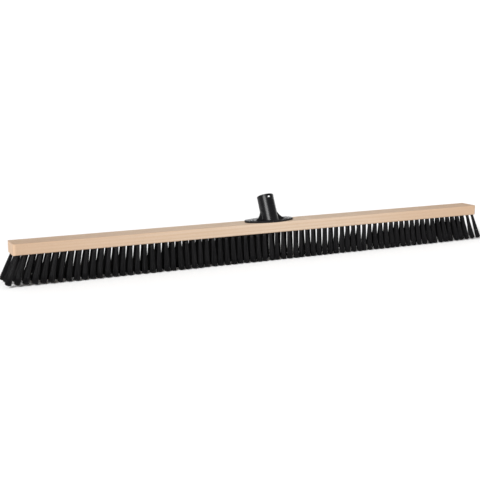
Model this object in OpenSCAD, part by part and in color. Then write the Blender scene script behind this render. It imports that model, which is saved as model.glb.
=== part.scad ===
/* [Wooden block] */
// Length of the block
block_len = 1000; // [1000:10:1200]
// Width of the block, front to back
block_w = 46; // [46:1:60]
// Thickness of the block
block_h = 20; // [20:1:30]
// Radius of the block's four upright corners
corner_r = 5; // [3:0.5:8]
// Radius of the block's long edges
edge_r = 2; // [1:0.5:2.5]

/* [Bristle tufts] */
// Height of the block's underside above the bristle tips
bristle_drop = 54; // [45:1:75]
// Tufts in each row
row_tufts = 74; // [66:1:74]
// Distance from tuft to tuft along a row
tuft_pitch = 13.5; // [12.5:0.1:13.5]
// How far the middle row is drilled out of step with the outer rows
middle_shift = 2; // [0:0.1:3]
// Distance between neighbouring rows at the block
row_gap = 18.5; // [15:0.5:18.5]
// How far the outer rows lean out, front and back, by their tips
row_splay = 6; // [4:0.5:8]
// Lean of the tufts at the block's -X end, in degrees
left_lean = 22; // [0:1:22]
// Lean of the tufts at the block's +X end, in degrees
right_lean = 18; // [0:1:22]
// Radius of a tuft where it leaves the block
tuft_root_r = 2.7; // [2.4:0.1:2.9]
// Radius of a tuft near its tip
tuft_tip_r = 5.3; // [4:0.1:5.6]
// Depth of the tuft holes
hole_depth = 12; // [10:0.5:13]

/* [Handle socket] */
// Half length of the socket's oval plate
plate_half_len = 52; // [46:1:60]
// Half width of the socket's oval plate
plate_half_w = 23; // [20.5:0.5:23]
// Thickness of the oval plate
plate_t = 4; // [2.5:0.5:5]
// Lean of the socket towards the back, in degrees
socket_lean = 26; // [15:1:30]
// Outer radius of the socket at its mouth
socket_r = 16.4; // [16:0.1:17]
// Radius of the bore that takes the handle
bore_r = 14.1; // [12:0.1:14.2]
// Depth of that bore
bore_depth = 42; // [30:1:42]
// Radius of the hole for the screw that holds the handle
pin_hole_r = 2.5; // [1.5:0.1:3]

/* [Screws] */
// Distance between the two socket screws
screw_span = 75; // [70:1:80]
// Radius of a screw's shank
screw_r = 2; // [1.5:0.1:2.2]
// Radius of a screw's head
screw_head_r = 4.5; // [3:0.1:5]
// Length of a screw below its head
screw_len = 10; // [8:0.5:10]

/* [Hidden] */
$fn = 48;
sections = 16;
ROWS = ["front", "middle", "back"];

// The block
block_top = bristle_drop + block_h;

// The socket's axis starts at its foot, on the block's top face
foot_y = -5.8;
mouth_s = 52;
root_r = socket_r + 0.4;
neck_r = socket_r - 0.3;
lip_h = 3;
web_r = 26;
web_bite = 0.6;
web_foot = 2;
web_t = 5;
front_trim = 0.5;
rib_t = 4;
pin_hole_below_mouth = 6.5;
end_arc_r = 12;

// Screws
head_h = 2.6;
head_dome_r = 6.5;
recess_len = 4.6;
recess_w = 1;
recess_depth = 1.6;
pilot_r = screw_r + 0.02;

// Tufts: a chamfered tip, and a slot at the fold for the wire anchor
tip_chamfer = 2.5;
hole_r = tuft_root_r + 0.03;
anchor_t = 0.5;
anchor_h = 2;
anchor_above_root = 1.5;

function row_side(row) = row - 1;
function row_y(row) = row_side(row) * row_gap;
function tip_y(row) = row_side(row) * (row_gap + row_splay);
function row_start(row) = (row == 1 ? middle_shift : 0) - (row_tufts - 1) * tuft_pitch / 2;
function tuft_x(row, i) = row_start(row) + i * tuft_pitch;
function lean_at(x) = (x < 0 ? -left_lean : right_lean) * pow(abs(2 * x / block_len), 3);
function reach_at(row, x) = [bristle_drop * tan(lean_at(x)), tip_y(row) - row_y(row)];
function tilt_at(row, x) = atan(norm(reach_at(row, x)) / bristle_drop);
function heading_at(row, x) = atan2(reach_at(row, x)[1], reach_at(row, x)[0]);

// The tufts of a row are trimmed to one length, so they end higher where they lean further
function trimmed_len(tilt) = (bristle_drop - (tuft_tip_r - tip_chamfer) * sin(tilt)) / cos(tilt);
function tuft_len(row, x) = min(trimmed_len(tilt_at(row, x)), trimmed_len(tilt_at(row, 0)));
function section_first(s) = floor((s - 1) * row_tufts / sections);
function two_digits(n) = n < 10 ? str("0", n) : str(n);
function tuft_node(row, s) = str(ROWS[row], "_tufts_", two_digits(s));
function anchor_node(row) = str(ROWS[row], "_row_anchors");

// A rectangle centred on the origin with round corners
module round_rect(w, h, r) {
    square([w - 2 * r, h], center = true);
    square([w, h - 2 * r], center = true);
    for (x = [-1, 1]) for (y = [-1, 1])
        translate([x * (w / 2 - r), y * (h / 2 - r)]) circle(r);
}

// Puts its children at a tuft's root on the underside, with +Z along the tuft towards its tip
module along_tuft(row, i) {
    x = tuft_x(row, i);
    translate([x, row_y(row), bristle_drop])
        rotate([0, 0, heading_at(row, x)])
            rotate([0, 180 - tilt_at(row, x), 0])
                children();
}

// Puts its children at the socket's foot, with +Z along the socket towards its mouth
module along_socket() {
    translate([0, foot_y, block_top]) rotate([-socket_lean, 0, 0]) children();
}

module at_screws() {
    for (side = [-1, 1]) translate([side * screw_span / 2, 0, block_top + plate_t]) children();
}

// Beech block, planed all round, with its corners and edges rounded
module block_blank() {
    intersection() {
        linear_extrude(block_h) round_rect(block_len, block_w, corner_r);
        translate([0, 0, block_h / 2]) rotate([90, 0, 90])
            linear_extrude(block_len, center = true) round_rect(block_w, block_h, edge_r);
    }
}

module brush_block() {
    color("burlywood")
    difference() {
        translate([0, 0, bristle_drop]) block_blank();
        for (row = [0:2]) for (i = [0:row_tufts - 1])
            along_tuft(row, i)
                translate([0, 0, -hole_depth]) cylinder(r = hole_r, h = hole_depth + 6);
        at_screws() translate([0, 0, -screw_len - 0.2]) cylinder(r = pilot_r, h = screw_len + 1);
    }
}

// An oval of four arcs, its side arcs dipping a little way into its end arcs
module oval(a, b, r) {
    inner_r = r - 0.5;
    side_r = (pow(a - r, 2) + b * b - inner_r * inner_r) / (2 * (b - inner_r));
    join_x = (a - r) * (1 + inner_r / (side_r - inner_r));
    intersection() {
        translate([0, b - side_r]) circle(side_r, $fn = 180);
        translate([0, side_r - b]) circle(side_r, $fn = 180);
        square([2 * join_x, 2 * b], center = true);
    }
    for (side = [-1, 1]) translate([side * (a - r), 0]) circle(r);
}

// One side web, in the plane of the tube's axis, with a hollow curve for its outer edge
module side_web() {
    reach = root_r + web_r - web_bite;
    rotate([90, 0, 0]) linear_extrude(web_t, center = true)
        difference() {
            translate([0, -12]) square([reach, web_foot + web_r + 12]);
            translate([reach, web_foot + web_r]) circle(web_r, $fn = 96);
        }
}

module back_rib() {
    rotate([90, 0, 90]) linear_extrude(rib_t, center = true)
        polygon([[0, 0], [plate_half_w - foot_y - 3, 0], [plate_half_w - foot_y - 3, plate_t],
                 [socket_r + 8, 20], [0, 20]]);
}

module handle_socket() {
    color([0.09, 0.09, 0.1])
    difference() {
        intersection() {
            union() {
                translate([0, 0, block_top])
                    linear_extrude(plate_t) oval(plate_half_len, plate_half_w, end_arc_r);
                along_socket() {
                    translate([0, 0, -12]) cylinder(r1 = root_r, r2 = neck_r, h = mouth_s + 11);
                    translate([0, 0, mouth_s - lip_h]) cylinder(r = socket_r, h = lip_h);
                    side_web();
                    mirror([1, 0, 0]) side_web();
                }
                translate([0, foot_y, block_top]) back_rib();
            }
            translate([-100, front_trim - plate_half_w, block_top]) cube(200);
        }
        along_socket() {
            translate([0, 0, mouth_s - bore_depth]) cylinder(r = bore_r, h = bore_depth + 5);
            translate([0, 0, mouth_s - pin_hole_below_mouth]) rotate([90, 0, 0])
                cylinder(r = pin_hole_r, h = 2 * socket_r);
        }
        at_screws() translate([0, 0, -plate_t - 1])
            cylinder(r = screw_r + 0.25, h = plate_t + 2);
    }
}

// Pan-head screw with a crossed recess, its head's underside at the origin
module screw() {
    point_h = 3;
    difference() {
        union() {
            rotate_extrude() intersection() {
                translate([0, head_h - head_dome_r]) circle(head_dome_r, $fn = 96);
                square([screw_head_r, head_h]);
            }
            translate([0, 0, point_h - screw_len]) cylinder(r = screw_r, h = screw_len - point_h + 0.5);
            translate([0, 0, -screw_len]) cylinder(r1 = 0.3, r2 = screw_r, h = point_h);
        }
        for (turn = [0, 90]) rotate([0, 0, turn]) translate([0, 0, head_h])
            cube([recess_len, recess_w, 2 * recess_depth], center = true);
    }
}

module socket_screws() {
    color("silver") at_screws() screw();
}

// One folded bundle of filaments, from the bottom of its hole to its trimmed tip
module tuft(row, i) {
    len = tuft_len(row, tuft_x(row, i));
    along_tuft(row, i)
        difference() {
            rotate_extrude() polygon([
                [0, -hole_depth + 0.05], [tuft_root_r, -hole_depth + 0.05], [tuft_root_r, 0],
                [tuft_tip_r, len - tip_chamfer], [tuft_tip_r - tip_chamfer, len], [0, len]]);
            translate([0, 0, anchor_above_root - hole_depth + anchor_h / 2])
                cube([2 * hole_r + 2, anchor_t + 0.04, anchor_h + 0.04], center = true);
        }
}

module tuft_section(row, s) {
    color([0.1, 0.1, 0.11])
        for (i = [section_first(s):section_first(s + 1) - 1]) tuft(row, i);
}

// Flat wire anchors that hold the folded bundles in their holes
module row_anchors(row) {
    color("lightgray")
        for (i = [0:row_tufts - 1]) along_tuft(row, i)
            translate([0, 0, anchor_above_root - hole_depth + anchor_h / 2])
                cube([2 * tuft_root_r - 0.1, anchor_t, anchor_h], center = true);
}

brush_block();
handle_socket();
socket_screws();
for (row = [0:2]) {
    row_anchors(row);
    for (s = [1:sections])
        tuft_section(row, s);
}
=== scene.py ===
import math

import bpy
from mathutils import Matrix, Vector


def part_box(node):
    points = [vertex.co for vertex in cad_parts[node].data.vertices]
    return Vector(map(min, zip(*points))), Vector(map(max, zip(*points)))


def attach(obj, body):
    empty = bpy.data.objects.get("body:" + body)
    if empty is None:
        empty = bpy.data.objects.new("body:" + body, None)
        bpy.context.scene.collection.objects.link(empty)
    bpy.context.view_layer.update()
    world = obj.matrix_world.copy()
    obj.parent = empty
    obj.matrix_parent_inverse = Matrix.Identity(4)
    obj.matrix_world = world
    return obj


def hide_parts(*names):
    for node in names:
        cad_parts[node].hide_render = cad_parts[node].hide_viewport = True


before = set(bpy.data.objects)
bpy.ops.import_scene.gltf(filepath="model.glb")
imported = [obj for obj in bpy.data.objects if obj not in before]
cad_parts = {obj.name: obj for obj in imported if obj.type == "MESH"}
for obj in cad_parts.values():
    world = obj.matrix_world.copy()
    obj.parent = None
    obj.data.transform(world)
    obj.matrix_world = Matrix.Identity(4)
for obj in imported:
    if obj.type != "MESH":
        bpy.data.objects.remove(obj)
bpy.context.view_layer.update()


# ---------------------------------------------------------------------------------------------
# The block: one bar of beech, planed on all sides, its corners and long edges eased, and its
# underside drilled for the tufts. It is left bare, so its rings, streaks and ray flecks show.
# The drilled bar is the CAD node itself, so only its wood is made here.
# ---------------------------------------------------------------------------------------------
block_low, block_high = (Vector(corner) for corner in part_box("brush_block"))
block_size = block_high - block_low


def add_node(tree, kind, inputs=None, **settings):
    """A node in tree with its settings, and with its inputs set or joined to other sockets."""
    node = tree.nodes.new(kind)
    for name, value in settings.items():
        setattr(node, name, value)
    for name, value in (inputs or {}).items():
        if isinstance(value, bpy.types.NodeSocket):
            tree.links.new(value, node.inputs[name])
        else:
            node.inputs[name].default_value = value
    return node


def start_finish(name):
    """A new material with an empty Principled shader, as (material, tree, shader)."""
    finish = bpy.data.materials.new(name)
    finish.use_nodes = True
    tree = finish.node_tree
    tree.nodes.clear()
    shader = add_node(tree, "ShaderNodeBsdfPrincipled")
    add_node(tree, "ShaderNodeOutputMaterial", {"Surface": shader.outputs["BSDF"]})
    return finish, tree, shader


def blend_colours(tree, amount, first, second):
    """The colour output of a Mix node between two colours."""
    mix = add_node(tree, "ShaderNodeMix", data_type="RGBA")
    # The Mix node's sockets share their names, so its colour sockets are taken by their places
    factor, colour_a, colour_b = (mix.inputs[place] for place in (0, 6, 7))
    for socket, value in ((factor, amount), (colour_a, first), (colour_b, second)):
        if isinstance(value, bpy.types.NodeSocket):
            tree.links.new(value, socket)
        else:
            socket.default_value = value
    return mix.outputs[2]


def ramp(tree, value, stops):
    """A colour ramp on value, with stops given as (place, grey)."""
    node = add_node(tree, "ShaderNodeValToRGB", {"Fac": value})
    points = node.color_ramp.elements
    while len(points) < len(stops):
        points.new(0.5)
    for point, (place, grey) in zip(points, stops):
        point.position = place
        point.color = (grey, grey, grey, 1)
    return node.outputs["Color"]


def stretched(tree, scale, turn=(0, 0, 0), shift=(0, 0, 0)):
    """Object coordinates scaled, then turned and shifted, for a pattern."""
    place = add_node(tree, "ShaderNodeTexCoord").outputs["Object"]
    inputs = {"Vector": place, "Scale": scale, "Rotation": turn, "Location": shift}
    return add_node(tree, "ShaderNodeMapping", inputs).outputs["Vector"]


def planed_beech():
    finish, tree, shader = start_finish("planed_beech")
    # Growth rings run round a pith that lies above and in front of the bar, and wander along it
    rings_place = stretched(tree, (0.05, 1, 1), turn=(0, math.radians(0.6), math.radians(1.1)),
                            shift=(0, 0.07, -0.13))
    rings = add_node(tree, "ShaderNodeTexWave",
                     {"Vector": rings_place, "Scale": 62, "Distortion": 5.5, "Detail": 3,
                      "Detail Scale": 0.35, "Detail Roughness": 0.55},
                     wave_type="RINGS", rings_direction="X", wave_profile="SIN").outputs["Fac"]
    # Long streaks of fibre, a slow drift of tone along the bar, and the short dark ray flecks
    streaks = add_node(tree, "ShaderNodeTexNoise",
                       {"Vector": stretched(tree, (5, 330, 330)), "Scale": 1, "Detail": 5,
                        "Roughness": 0.62}).outputs["Fac"]
    drift = add_node(tree, "ShaderNodeTexNoise",
                     {"Vector": stretched(tree, (2.2, 22, 22)), "Scale": 1, "Detail": 2,
                      "Roughness": 0.5}).outputs["Fac"]
    flecks = add_node(tree, "ShaderNodeTexNoise",
                      {"Vector": stretched(tree, (480, 3600, 2600)), "Scale": 1, "Detail": 1,
                       "Roughness": 0.4}).outputs["Fac"]
    pores = add_node(tree, "ShaderNodeTexNoise",
                     {"Vector": stretched(tree, (420, 5200, 5200)), "Scale": 1, "Detail": 2,
                      "Roughness": 0.6}).outputs["Fac"]
    wood = blend_colours(tree, ramp(tree, drift, ((0.34, 0), (0.66, 1))),
                         (0.545, 0.43, 0.325, 1), (0.625, 0.51, 0.405, 1))
    # The bar is palest in the middle and darker and warmer towards both ends: partly the wood's
    # own tone, partly painted shade where the light falls off towards the ends
    along = add_node(tree, "ShaderNodeSeparateXYZ",
                     {"Vector": stretched(tree, (1 / block_size.x, 1, 1), shift=(0.5, 0, 0))})
    end_tone_and_painted_falloff = ramp(tree, along.outputs["X"], ((0, 0.9), (0.25, 0.5), (0.5, 0), (0.75, 0.5), (1, 1)))
    wood = blend_colours(tree, end_tone_and_painted_falloff, wood, (0.465, 0.32, 0.215, 1))
    late_wood = ramp(tree, rings, ((0.35, 0), (0.95, 0.38)))
    wood = blend_colours(tree, late_wood, wood, (0.46, 0.315, 0.21, 1))
    wood = blend_colours(tree, ramp(tree, streaks, ((0.36, 0.22), (0.64, 0))), wood,
                         (0.43, 0.285, 0.18, 1))
    wood = blend_colours(tree, ramp(tree, flecks, ((0.62, 0), (0.70, 0.42))), wood,
                         (0.33, 0.19, 0.11, 1))
    wood = blend_colours(tree, ramp(tree, pores, ((0.6, 0), (0.75, 0.22))), wood,
                         (0.31, 0.18, 0.1, 1))
    tree.links.new(wood, shader.inputs["Base Color"])
    tree.links.new(ramp(tree, streaks, ((0.3, 0.66), (0.7, 0.5))), shader.inputs["Roughness"])
    relief = add_node(tree, "ShaderNodeMath", {0: streaks, 1: flecks}, operation="SUBTRACT")
    bump = add_node(tree, "ShaderNodeBump", {"Height": relief.outputs["Value"], "Strength": 0.25,
                                             "Distance": 0.0002})
    tree.links.new(bump.outputs["Normal"], shader.inputs["Normal"])
    shader.inputs["Specular IOR Level"].default_value = 0.3
    return finish


def give_finish(piece, finish):
    """Puts one finish on the whole of a piece."""
    piece.data.materials.clear()
    piece.data.materials.append(finish)


give_finish(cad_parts["brush_block"], planed_beech())


# ---------------------------------------------------------------------------------------------
# The handle socket: one moulding in black semi-gloss plastic, an oval plate that carries a
# leaning tube with a lip, two side webs and a back rib. Its corners are softened as a mould
# leaves them, and it sits on the block's top, held by two screws.
# ---------------------------------------------------------------------------------------------
def glossy_black_plastic():
    finish, tree, shader = start_finish("glossy_black_plastic")
    cloud = add_node(tree, "ShaderNodeTexNoise",
                     {"Vector": stretched(tree, (90, 90, 90)), "Scale": 1, "Detail": 4,
                      "Roughness": 0.6}).outputs["Fac"]
    grain = add_node(tree, "ShaderNodeTexNoise",
                     {"Vector": stretched(tree, (1900, 1900, 1900)), "Scale": 1, "Detail": 2,
                      "Roughness": 0.5}).outputs["Fac"]
    scuffs = add_node(tree, "ShaderNodeTexNoise",
                      {"Vector": stretched(tree, (60, 700, 260), turn=(0.4, 0.3, 0.7)),
                       "Scale": 1, "Detail": 3, "Roughness": 0.7}).outputs["Fac"]
    black = blend_colours(tree, ramp(tree, cloud, ((0.35, 0), (0.7, 1))),
                          (0.003, 0.003, 0.0036, 1), (0.0065, 0.0062, 0.0072, 1))
    black = blend_colours(tree, ramp(tree, scuffs, ((0.68, 0), (0.8, 0.4))), black,
                          (0.028, 0.028, 0.031, 1))
    tree.links.new(black, shader.inputs["Base Color"])
    tree.links.new(ramp(tree, cloud, ((0.3, 0.22), (0.7, 0.33))), shader.inputs["Roughness"])
    bump = add_node(tree, "ShaderNodeBump", {"Height": grain, "Strength": 0.2, "Distance": 0.0001})
    tree.links.new(bump.outputs["Normal"], shader.inputs["Normal"])
    shader.inputs["Specular IOR Level"].default_value = 0.2
    return finish


def mesh_of(piece):
    """The piece's mesh with its modifiers applied, as a new mesh of its own."""
    depsgraph = bpy.context.evaluated_depsgraph_get()
    return bpy.data.meshes.new_from_object(piece.evaluated_get(depsgraph), depsgraph=depsgraph)


socket_voxel = 0.00045
same_point_distance = 0.00001
socket_shape = bpy.data.objects.new("socket_shape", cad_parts["handle_socket"].data.copy())
bpy.context.scene.collection.objects.link(socket_shape)
weld = socket_shape.modifiers.new("weld", "WELD")
weld.merge_threshold = same_point_distance
remesh = socket_shape.modifiers.new("remesh", "REMESH")
remesh.mode = "VOXEL"
remesh.voxel_size = socket_voxel
soften = socket_shape.modifiers.new("soften", "SMOOTH")
soften.factor = 0.5
soften.iterations = 9
thin_out = socket_shape.modifiers.new("thin_out", "DECIMATE")
thin_out.ratio = 0.35
socket_moulding = bpy.data.objects.new("socket_moulding", mesh_of(socket_shape))
bpy.context.scene.collection.objects.link(socket_moulding)
bpy.data.objects.remove(socket_shape)
socket_moulding.data.shade_smooth()
give_finish(socket_moulding, glossy_black_plastic())
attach(socket_moulding, "root")
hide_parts("handle_socket")


# ---------------------------------------------------------------------------------------------
# The socket's screws: two pan-head wood screws with crossed recesses, in bright zinc plate.
# They go through the plate's ends into the block. The CAD node has their real shape.
# ---------------------------------------------------------------------------------------------
def bright_zinc():
    finish, tree, shader = start_finish("bright_zinc")
    cloud = add_node(tree, "ShaderNodeTexNoise",
                     {"Vector": stretched(tree, (420, 420, 420)), "Scale": 1, "Detail": 4,
                      "Roughness": 0.65}).outputs["Fac"]
    zinc = blend_colours(tree, ramp(tree, cloud, ((0.35, 0), (0.7, 1))),
                         (0.62, 0.63, 0.65, 1), (0.78, 0.78, 0.77, 1))
    tree.links.new(zinc, shader.inputs["Base Color"])
    tree.links.new(ramp(tree, cloud, ((0.3, 0.24), (0.7, 0.42))), shader.inputs["Roughness"])
    bump = add_node(tree, "ShaderNodeBump", {"Height": cloud, "Strength": 0.15,
                                             "Distance": 0.0001})
    tree.links.new(bump.outputs["Normal"], shader.inputs["Normal"])
    shader.inputs["Metallic"].default_value = 1.0
    return finish


give_finish(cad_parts["socket_screws"], bright_zinc())


# ---------------------------------------------------------------------------------------------
# The anchors: a short flat of drawn steel wire across each tuft's fold, driven into the bottom
# of its hole. They are hidden once the head is filled.
# ---------------------------------------------------------------------------------------------
def drawn_wire():
    finish, tree, shader = start_finish("drawn_wire")
    lines = add_node(tree, "ShaderNodeTexNoise",
                     {"Vector": stretched(tree, (200, 4000, 4000)), "Scale": 1, "Detail": 3,
                      "Roughness": 0.6}).outputs["Fac"]
    steel = blend_colours(tree, lines, (0.32, 0.32, 0.33, 1), (0.55, 0.55, 0.56, 1))
    tree.links.new(steel, shader.inputs["Base Color"])
    tree.links.new(ramp(tree, lines, ((0.3, 0.3), (0.7, 0.5))), shader.inputs["Roughness"])
    shader.inputs["Metallic"].default_value = 1.0
    return finish


wire = drawn_wire()
for row in ("front", "middle", "back"):
    give_finish(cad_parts[row + "_row_anchors"], wire)


# ---------------------------------------------------------------------------------------------
# The bristles: black plastic filaments, folded in bundles and set in the block's holes in three
# long rows. Each tuft flares towards a rounded, trimmed tip. The outer rows lean out to the
# front and back, and the tufts lean further along the block the nearer they are to its ends.
# ---------------------------------------------------------------------------------------------
def satin_black_filament():
    finish, tree, shader = start_finish("satin_black_filament")
    tint = add_node(tree, "ShaderNodeAttribute", attribute_name="fibre_tint").outputs["Fac"]
    wear = add_node(tree, "ShaderNodeTexNoise",
                    {"Vector": stretched(tree, (900, 900, 260)), "Scale": 1, "Detail": 3,
                     "Roughness": 0.6}).outputs["Fac"]
    black = blend_colours(tree, tint, (0.002, 0.002, 0.0022, 1), (0.0105, 0.0100, 0.0112, 1))
    black = blend_colours(tree, ramp(tree, wear, ((0.62, 0), (0.8, 0.35))), black,
                          (0.022, 0.022, 0.0235, 1))
    tree.links.new(black, shader.inputs["Base Color"])
    tree.links.new(ramp(tree, tint, ((0.0, 0.34), (1.0, 0.5))), shader.inputs["Roughness"])
    shader.inputs["Specular IOR Level"].default_value = 0.2
    return finish


class TuftMaker:
    """Writes the node tree that grows a run of tufts, filament by filament."""

    golden_angle = math.pi * (3 - math.sqrt(5))
    tip_wander = 0.0011  # How far a tuft's tip strays from its place, each way
    uneven_trim = 0.0007  # How much shorter than its neighbours a filament may be
    inputs = (
        ("Tufts", "NodeSocketInt"), ("First X", "NodeSocketFloat"), ("Pitch", "NodeSocketFloat"),
        ("Root Y", "NodeSocketFloat"), ("Tip Y", "NodeSocketFloat"), ("Drop", "NodeSocketFloat"),
        ("Half Length", "NodeSocketFloat"),
        ("Left Lean", "NodeSocketFloat"), ("Right Lean", "NodeSocketFloat"),
        ("Root Radius", "NodeSocketFloat"), ("Tip Radius", "NodeSocketFloat"),
        ("Tip Dome", "NodeSocketFloat"), ("Filaments", "NodeSocketInt"),
        ("Filament Radius", "NodeSocketFloat"), ("In Hole", "NodeSocketFloat"),
        ("Stray", "NodeSocketFloat"), ("Seed", "NodeSocketInt"),
        ("Finish", "NodeSocketMaterial"),
    )

    def __init__(self):
        self.tree = bpy.data.node_groups.new("tuft_run", "GeometryNodeTree")
        for name, kind in self.inputs:
            self.tree.interface.new_socket(name, in_out="INPUT", socket_type=kind)
        self.tree.interface.new_socket("Geometry", in_out="OUTPUT",
                                       socket_type="NodeSocketGeometry")
        self.given = add_node(self.tree, "NodeGroupInput").outputs
        self.grow()

    def math(self, operation, *values):
        node = add_node(self.tree, "ShaderNodeMath", dict(enumerate(values)),
                        operation=operation)
        return node.outputs["Value"]

    def vector(self, operation, *values):
        node = add_node(self.tree, "ShaderNodeVectorMath", operation=operation)
        for socket, value in zip(node.inputs, values):
            if isinstance(value, bpy.types.NodeSocket):
                self.tree.links.new(value, socket)
            else:
                socket.default_value = value
        return node.outputs["Vector"]

    def scaled(self, vector, amount):
        inputs = {0: vector, "Scale": amount}
        node = add_node(self.tree, "ShaderNodeVectorMath", inputs, operation="SCALE")
        return node.outputs["Vector"]

    def xyz(self, x, y, z):
        return add_node(self.tree, "ShaderNodeCombineXYZ", {"X": x, "Y": y, "Z": z}).outputs[0]

    def random(self, low, high, number, seed_shift):
        seed = self.math("ADD", self.given["Seed"], seed_shift)
        node = add_node(self.tree, "FunctionNodeRandomValue", {"ID": number, "Seed": seed},
                        data_type="FLOAT")
        # Its sockets for vectors have the same names, so the plain ones are taken by place
        least, most, drawn = node.inputs[2], node.inputs[3], node.outputs[1]
        least.default_value = low
        most.default_value = high
        return drawn

    def keep(self, geometry, name, value, kind="FLOAT"):
        node = add_node(self.tree, "GeometryNodeStoreNamedAttribute",
                        {"Geometry": geometry, "Name": name, "Value": value},
                        data_type=kind, domain="POINT")
        return node.outputs["Geometry"]

    def kept(self, name, kind="FLOAT"):
        node = add_node(self.tree, "GeometryNodeInputNamedAttribute", {"Name": name},
                        data_type=kind)
        return node.outputs["Attribute"]

    def filament(self):
        """One filament of unit length along +Z, four-sided, with its height kept as along."""
        tube = add_node(self.tree, "GeometryNodeMeshCylinder",
                        {"Vertices": 4, "Side Segments": 5, "Fill Segments": 1,
                         "Radius": self.given["Filament Radius"], "Depth": 1.0},
                        fill_type="NGON").outputs["Mesh"]
        raised = add_node(self.tree, "GeometryNodeTransform",
                          {"Geometry": tube, "Translation": (0, 0, 0.5)}).outputs["Geometry"]
        place = add_node(self.tree, "GeometryNodeInputPosition").outputs["Position"]
        height = add_node(self.tree, "ShaderNodeSeparateXYZ", {"Vector": place}).outputs["Z"]
        return self.keep(raised, "along", height)

    def grow(self):
        given = self.given
        index = add_node(self.tree, "GeometryNodeInputIndex").outputs["Index"]
        tuft = self.math("FLOOR", self.math("DIVIDE", index, given["Filaments"]))
        number = self.math("SUBTRACT", index, self.math("MULTIPLY", tuft, given["Filaments"]))

        # The tuft's root, and its axis down to its tip
        root_x = self.math("ADD", given["First X"], self.math("MULTIPLY", tuft, given["Pitch"]))
        share = self.math("DIVIDE", root_x, given["Half Length"])
        on_the_right = self.math("GREATER_THAN", share, 0)
        more = self.math("SUBTRACT", given["Right Lean"], given["Left Lean"])
        end_lean = self.math("ADD", given["Left Lean"],
                             self.math("MULTIPLY", more, on_the_right))
        lean = self.math("MULTIPLY", end_lean, self.math("POWER", share, 3))
        reach_x = self.math("ADD", self.math("MULTIPLY", given["Drop"],
                                             self.math("TANGENT", lean)),
                            self.random(-self.tip_wander, self.tip_wander, tuft, 1))
        reach_y = self.math("ADD", self.math("SUBTRACT", given["Tip Y"], given["Root Y"]),
                            self.random(-self.tip_wander, self.tip_wander, tuft, 2))
        down = self.math("MULTIPLY", given["Drop"], -1)
        axis = self.vector("NORMALIZE", self.xyz(reach_x, reach_y, down))
        across = self.vector("NORMALIZE", self.vector("CROSS_PRODUCT", (0, 1, 0), axis))
        along_row = self.vector("CROSS_PRODUCT", axis, across)

        # The filament's place in its bundle, spread evenly over a disc
        turn = self.math("ADD", self.math("MULTIPLY", number, self.golden_angle),
                         self.random(0, 2 * math.pi, tuft, 3))
        out = self.math("SQRT", self.math("DIVIDE", self.math("ADD", number, 0.5),
                                          given["Filaments"]))
        outward = self.vector("ADD", self.scaled(across, self.math("COSINE", turn)),
                              self.scaled(along_row, self.math("SINE", turn)))

        # Its length: a row is trimmed to one length, and every tip is domed
        slope = self.math("DIVIDE", self.math("SQRT", self.math(
            "ADD", self.math("POWER", reach_x, 2), self.math("POWER", reach_y, 2))),
            given["Drop"])
        tilt = self.math("ARCTANGENT", slope)
        dip = self.math("DIVIDE", self.math("POWER", self.math(
            "MULTIPLY", given["Tip Radius"], self.math("SINE", tilt)), 2),
            self.math("MULTIPLY", self.math("MULTIPLY", given["Tip Dome"], 4),
                      self.math("COSINE", tilt)))
        straight = self.math("DIVIDE", self.math("SUBTRACT", given["Drop"], dip),
                             self.math("COSINE", tilt))
        splay = self.math("SUBTRACT", given["Tip Y"], given["Root Y"])
        trimmed = self.math("SQRT", self.math("ADD", self.math("POWER", given["Drop"], 2),
                                              self.math("POWER", splay, 2)))
        straight = self.math("MINIMUM", straight, trimmed)
        length = self.math("SUBTRACT", straight,
                           self.math("MULTIPLY", given["Tip Dome"],
                                     self.math("POWER", out, 2)))
        length = self.math("SUBTRACT", length, self.random(0, self.uneven_trim, index, 4))

        # A slight bow of its own, with a few strays
        bow_turn = self.random(0, 2 * math.pi, index, 5)
        bow = self.math("MULTIPLY", given["Stray"],
                        self.math("POWER", self.random(0, 1, index, 6), 4))
        bow = self.scaled(self.vector("ADD", self.scaled(across, self.math("COSINE", bow_turn)),
                                      self.scaled(along_row, self.math("SINE", bow_turn))), bow)

        count = self.math("MULTIPLY", given["Tufts"], given["Filaments"])
        points = add_node(self.tree, "GeometryNodePoints", {"Count": count}).outputs["Points"]
        points = self.keep(points, "root", self.xyz(root_x, given["Root Y"], given["Drop"]),
                           "FLOAT_VECTOR")
        points = self.keep(points, "axis", axis, "FLOAT_VECTOR")
        points = self.keep(points, "outward", self.scaled(outward, out), "FLOAT_VECTOR")
        points = self.keep(points, "bow", bow, "FLOAT_VECTOR")
        points = self.keep(points, "length", length)
        points = self.keep(points, "fibre_tint", self.random(0, 1, index, 7))
        filaments = add_node(self.tree, "GeometryNodeInstanceOnPoints",
                             {"Points": points, "Instance": self.filament()})
        bundle = add_node(self.tree, "GeometryNodeRealizeInstances",
                          {"Geometry": filaments.outputs["Instances"]}).outputs["Geometry"]

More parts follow.
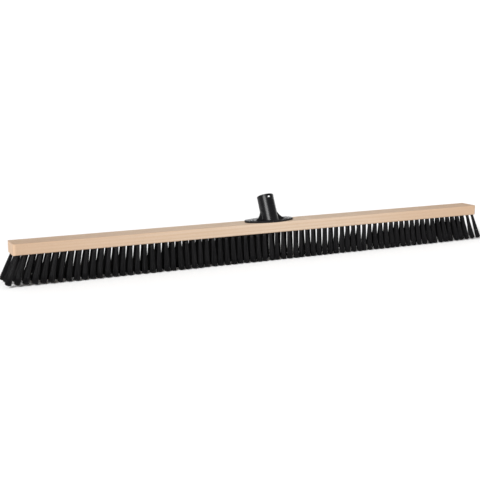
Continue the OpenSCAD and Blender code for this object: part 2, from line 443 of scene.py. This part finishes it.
        # Every ring of every filament goes to its place along the flaring tuft
        along = self.kept("along")
        from_root = self.math("SUBTRACT", self.math("MULTIPLY", along, self.math(
            "ADD", self.kept("length"), given["In Hole"])), given["In Hole"])
        opened = self.math("MAXIMUM", self.math("DIVIDE", from_root, self.kept("length")), 0.0)
        gap = self.math("SUBTRACT", given["Tip Radius"], given["Root Radius"])
        radius = self.math("SUBTRACT", self.math("ADD", given["Root Radius"],
                                                 self.math("MULTIPLY", gap, opened)),
                           given["Filament Radius"])
        here = add_node(self.tree, "GeometryNodeInputPosition").outputs["Position"]
        place = self.vector("ADD", self.kept("root", "FLOAT_VECTOR"),
                            self.scaled(self.kept("axis", "FLOAT_VECTOR"), from_root))
        place = self.vector("ADD", place,
                            self.scaled(self.kept("outward", "FLOAT_VECTOR"), radius))
        place = self.vector("ADD", place, self.scaled(self.kept("bow", "FLOAT_VECTOR"),
                                                      self.math("POWER", opened, 2)))
        flat = self.vector("MULTIPLY", here, (1, 1, 0))
        placed = add_node(self.tree, "GeometryNodeSetPosition",
                          {"Geometry": bundle, "Position": self.vector("ADD", place, flat)})
        geometry = placed.outputs["Geometry"]
        for name in ("root", "axis", "outward", "bow", "length", "along"):
            geometry = add_node(self.tree, "GeometryNodeRemoveAttribute",
                                {"Geometry": geometry, "Name": name}).outputs["Geometry"]
        geometry = add_node(self.tree, "GeometryNodeSetShadeSmooth",
                            {"Geometry": geometry}).outputs["Geometry"]
        geometry = add_node(self.tree, "GeometryNodeSetMaterial",
                            {"Geometry": geometry, "Material": given["Finish"]})
        add_node(self.tree, "NodeGroupOutput", {"Geometry": geometry.outputs["Geometry"]})


row_tufts = 74
sections = 16
tuft_pitch = 0.0135
middle_shift = 0.002
row_gap = 0.0185
row_splay = 0.006
bristle_sizes = {
    "Pitch": tuft_pitch,
    "Drop": block_low.z,
    "Half Length": block_size.x / 2,
    "Left Lean": math.radians(22),
    "Right Lean": math.radians(18),
    "Root Radius": 0.0029,
    "Tip Radius": 0.0055,
    "Tip Dome": 0.0018,
    "Filaments": 100,
    "Filament Radius": 0.00028,
    "In Hole": 0.004,
    "Stray": 0.0025,
    "Finish": satin_black_filament(),
}
tuft_run = TuftMaker().tree
socket_keys = {item.name: item.identifier for item in tuft_run.interface.items_tree
               if item.in_out == "INPUT"}

for row, (name, side) in enumerate((("front", -1), ("middle", 0), ("back", 1))):
    row_start = (middle_shift if side == 0 else 0) - (row_tufts - 1) * tuft_pitch / 2
    for section in range(sections):
        first = section * row_tufts // sections
        last = (section + 1) * row_tufts // sections
        node_name = f"{name}_tufts_{section + 1:02d}"
        grower = bpy.data.objects.new("grower", bpy.data.meshes.new("grower"))
        bpy.context.scene.collection.objects.link(grower)
        growth = grower.modifiers.new("growth", "NODES")
        growth.node_group = tuft_run
        values = dict(bristle_sizes, **{
            "Tufts": last - first,
            "First X": row_start + first * tuft_pitch,
            "Root Y": side * row_gap,
            "Tip Y": side * (row_gap + row_splay),
            "Seed": 100 * row + 10 * section,
        })
        for label, value in values.items():
            growth[socket_keys[label]] = value
        bristles = bpy.data.objects.new(node_name + "_bristles", mesh_of(grower))
        bpy.context.scene.collection.objects.link(bristles)
        bpy.data.objects.remove(grower)
        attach(bristles, "root")
        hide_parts(node_name)


# ---------------------------------------------------------------------------------------------
# The studio: a matt floor in pale paint that sweeps up all round, an even white sky, and one
# broad soft light that shines down from the front left.
# ---------------------------------------------------------------------------------------------
def pale_floor_paint():
    finish, tree, shader = start_finish("pale_floor_paint")
    mottle = add_node(tree, "ShaderNodeTexNoise",
                      {"Vector": stretched(tree, (3, 3, 3)), "Scale": 1, "Detail": 3,
                       "Roughness": 0.5}).outputs["Fac"]
    tree.links.new(blend_colours(tree, mottle, (0.94, 0.94, 0.94, 1), (0.96, 0.96, 0.96, 1)),
                   shader.inputs["Base Color"])
    shader.inputs["Roughness"].default_value = 0.9
    shader.inputs["Specular IOR Level"].default_value = 0.1
    return finish


def sweep_ring(distance, height, steps=96):
    """Points on a level circle round the middle of the floor."""
    turns = (2 * math.pi * step / steps for step in range(steps))
    return [(distance * math.cos(turn), distance * math.sin(turn), height) for turn in turns]


flat_radius, sweep_radius = 6.0, 4.0
sweep_angle, sweep_steps = math.radians(60), 12
profile = [(flat_radius, 0.0)]
for step in range(1, sweep_steps + 1):
    rise = sweep_angle * step / sweep_steps
    profile.append((flat_radius + sweep_radius * math.sin(rise),
                    sweep_radius * (1 - math.cos(rise))))
rings = [sweep_ring(*point) for point in profile]
around = len(rings[0])
floor_faces = [list(range(around))]
for ring in range(len(rings) - 1):
    for step in range(around):
        beside = (step + 1) % around
        floor_faces.append([ring * around + step, (ring + 1) * around + step,
                            (ring + 1) * around + beside, ring * around + beside])
floor_mesh = bpy.data.meshes.new("studio_floor")
floor_mesh.from_pydata([point for ring in rings for point in ring], [], floor_faces)
floor_mesh.shade_smooth()
studio_floor = bpy.data.objects.new("studio_floor", floor_mesh)
bpy.context.scene.collection.objects.link(studio_floor)
give_finish(studio_floor, pale_floor_paint())

sky = bpy.data.worlds.new("studio_sky")
sky.use_nodes = True
sky.node_tree.nodes["Background"].inputs["Color"].default_value = (1, 1, 1, 1)
sky.node_tree.nodes["Background"].inputs["Strength"].default_value = 0.42
bpy.context.scene.world = sky

key = bpy.data.lights.new("key", "SUN")
key.energy = 4.0
key.angle = math.radians(30)
key_light = bpy.data.objects.new("key", key)
bpy.context.scene.collection.objects.link(key_light)
shines_towards = Vector((0.65, 0.545, -0.53))
key_light.rotation_mode = "QUATERNION"
key_light.rotation_quaternion = shines_towards.to_track_quat("-Z", "Y")

bpy.context.scene.view_settings.view_transform = "Standard"


# ---------------------------------------------------------------------------------------------
# The camera stands to the front left of the head and a little above it, and takes in the whole
# length of the block.
# ---------------------------------------------------------------------------------------------
camera = bpy.data.cameras.new("camera")
camera.lens = 65.03
camera.sensor_width = 36
camera.clip_start, camera.clip_end = 0.05, 60
camera_object = bpy.data.objects.new("camera", camera)
bpy.context.scene.collection.objects.link(camera_object)
azimuth, elevation = math.radians(-26.3), math.radians(10.8)
look = Vector((-math.sin(azimuth) * math.cos(elevation), math.cos(azimuth) * math.cos(elevation),
               -math.sin(elevation)))
camera_object.rotation_mode = "QUATERNION"
camera_object.rotation_quaternion = look.to_track_quat("-Z", "Y")
camera_above_block = 0.3005
camera_object.location = (-0.791, -1.473, block_low.z + camera_above_block)
bpy.context.scene.camera = camera_object
